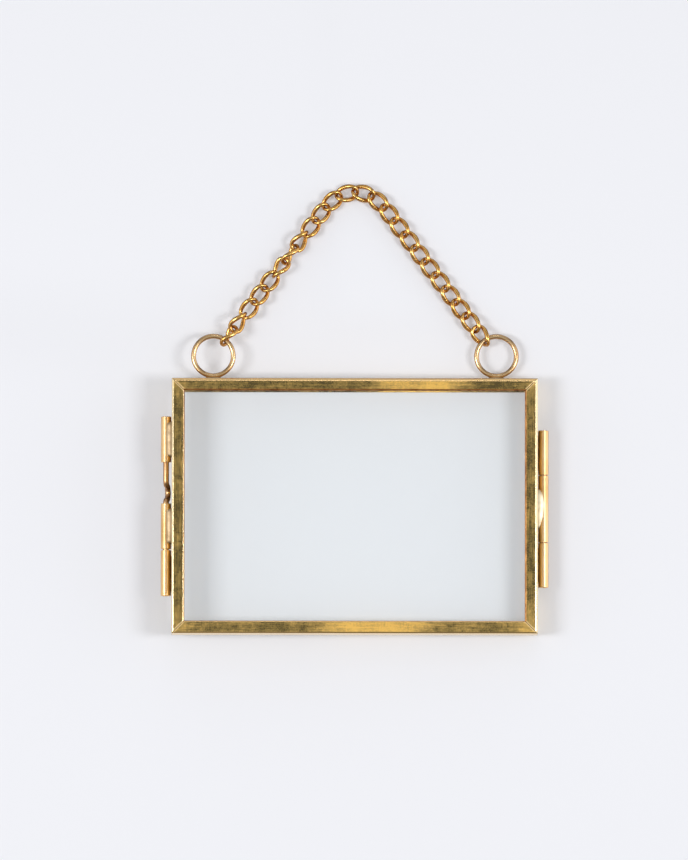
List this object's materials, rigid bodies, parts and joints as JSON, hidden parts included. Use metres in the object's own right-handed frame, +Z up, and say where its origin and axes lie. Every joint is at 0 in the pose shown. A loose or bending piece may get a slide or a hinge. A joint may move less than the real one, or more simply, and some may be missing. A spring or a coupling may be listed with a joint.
{
  "type": "hanging picture frame",
  "caption": "Hanging picture frame of folded brass rails and glass leaves that open like a book, with a barrel hinge, a sliding wire bolt, soldered rings and a curb chain.",
  "frame": {"origin": "the crossing of the top links of the chain, where a nail or hook carries it", "axes": "+Z up along the hanging line, +X to the right as seen from the front, -Y towards the viewer (the front leaf), +Y towards the wall"},
  "size_m": [0.1058, 0.0083, 0.1235],
  "materials": {
    "sheet_brass": "aged satin",
    "tube_brass": "polished",
    "wire_brass": "polished",
    "solder": "matt",
    "pane_glass": "clear"
  },
  "bodies": {
    "chain_top": {"chain_link_12": "wire_brass", "chain_link_13": "wire_brass"},
    "chain_pair_01": {"chain_link_11": "wire_brass", "chain_link_14": "wire_brass"},
    "chain_pair_02": {"chain_link_10": "wire_brass", "chain_link_15": "wire_brass"},
    "chain_pair_03": {"chain_link_09": "wire_brass", "chain_link_16": "wire_brass"},
    "chain_pair_04": {"chain_link_08": "wire_brass", "chain_link_17": "wire_brass"},
    "chain_pair_05": {"chain_link_07": "wire_brass", "chain_link_18": "wire_brass"},
    "chain_pair_06": {"chain_link_06": "wire_brass", "chain_link_19": "wire_brass"},
    "chain_pair_07": {"chain_link_05": "wire_brass", "chain_link_20": "wire_brass"},
    "chain_pair_08": {"chain_link_04": "wire_brass", "chain_link_21": "wire_brass"},
    "chain_pair_09": {"chain_link_03": "wire_brass", "chain_link_22": "wire_brass"},
    "chain_pair_10": {"chain_link_02": "wire_brass", "chain_link_23": "wire_brass"},
    "chain_pair_11": {"chain_link_01": "wire_brass", "chain_link_24": "wire_brass"},
    "back_frame": {"back_rail_top": "sheet_brass", "back_rail_right": "sheet_brass", "back_rail_bottom": "sheet_brass", "back_rail_left": "sheet_brass", "back_glass": "pane_glass", "ring_left": "wire_brass", "ring_right": "wire_brass", "ring_solder_left": "solder", "ring_solder_right": "solder", "hinge_knuckle_top": "tube_brass", "hinge_knuckle_bottom": "tube_brass", "hinge_solder_top": "solder", "hinge_solder_bottom": "solder", "hinge_pin": "wire_brass", "latch_keeper": "tube_brass", "latch_solder_keeper": "solder"},
    "front_frame": {"front_rail_top": "sheet_brass", "front_rail_right": "sheet_brass", "front_rail_bottom": "sheet_brass", "front_rail_left": "sheet_brass", "front_glass": "pane_glass", "hinge_knuckle_middle": "tube_brass", "hinge_solder_middle": "solder", "latch_guide_upper": "tube_brass", "latch_guide_lower": "tube_brass", "latch_solder_guide_upper": "solder", "latch_solder_guide_lower": "solder"},
    "latch_bolt": {"latch_bolt": "wire_brass"}
  },
  "joints": [
    {"name": "link_fold_01", "type": "hinge", "parent": "chain_top", "child": "chain_pair_01", "pos_m": [0, 0, -0.00114], "axis": [1, 0, 0], "range_deg": [-10, 0]},
    {"name": "link_fold_02", "type": "hinge", "parent": "chain_pair_01", "child": "chain_pair_02", "pos_m": [0, 0, -0.0043], "axis": [1, 0, 0], "range_deg": [-10, 0]},
    {"name": "link_fold_03", "type": "hinge", "parent": "chain_pair_02", "child": "chain_pair_03", "pos_m": [0, 0, -0.00802], "axis": [1, 0, 0], "range_deg": [-10, 0]},
    {"name": "link_fold_04", "type": "hinge", "parent": "chain_pair_03", "child": "chain_pair_04", "pos_m": [0, 0, -0.01175], "axis": [1, 0, 0], "range_deg": [-10, 0]},
    {"name": "link_fold_05", "type": "hinge", "parent": "chain_pair_04", "child": "chain_pair_05", "pos_m": [0, 0, -0.01548], "axis": [1, 0, 0], "range_deg": [-10, 0]},
    {"name": "link_fold_06", "type": "hinge", "parent": "chain_pair_05", "child": "chain_pair_06", "pos_m": [0, 0, -0.0192], "axis": [1, 0, 0], "range_deg": [-10, 0]},
    {"name": "link_fold_07", "type": "hinge", "parent": "chain_pair_06", "child": "chain_pair_07", "pos_m": [0, 0, -0.02293], "axis": [1, 0, 0], "range_deg": [-10, 0]},
    {"name": "link_fold_08", "type": "hinge", "parent": "chain_pair_07", "child": "chain_pair_08", "pos_m": [0, 0, -0.02666], "axis": [1, 0, 0], "range_deg": [-10, 0]},
    {"name": "link_fold_09", "type": "hinge", "parent": "chain_pair_08", "child": "chain_pair_09", "pos_m": [0, 0, -0.03038], "axis": [1, 0, 0], "range_deg": [-10, 0]},
    {"name": "link_fold_10", "type": "hinge", "parent": "chain_pair_09", "child": "chain_pair_10", "pos_m": [0, 0, -0.03411], "axis": [1, 0, 0], "range_deg": [-10, 0]},
    {"name": "link_fold_11", "type": "hinge", "parent": "chain_pair_10", "child": "chain_pair_11", "pos_m": [0, 0, -0.03784], "axis": [1, 0, 0], "range_deg": [-10, 0]},
    {"name": "frame_swing", "type": "hinge", "parent": "chain_pair_11", "child": "back_frame", "pos_m": [0, 0, -0.04156], "axis": [1, 0, 0], "range_deg": [-40, 0]},
    {"name": "door_hinge", "type": "hinge", "parent": "back_frame", "child": "front_frame", "pos_m": [0.05155, -0.00205, -0.08666], "axis": [0, 0, 1], "range_deg": [0, 180]},
    {"name": "bolt_slide", "type": "slide", "parent": "front_frame", "child": "latch_bolt", "axis": [0, 0, 1], "range_m": [0, 0.0046]}
  ]
}
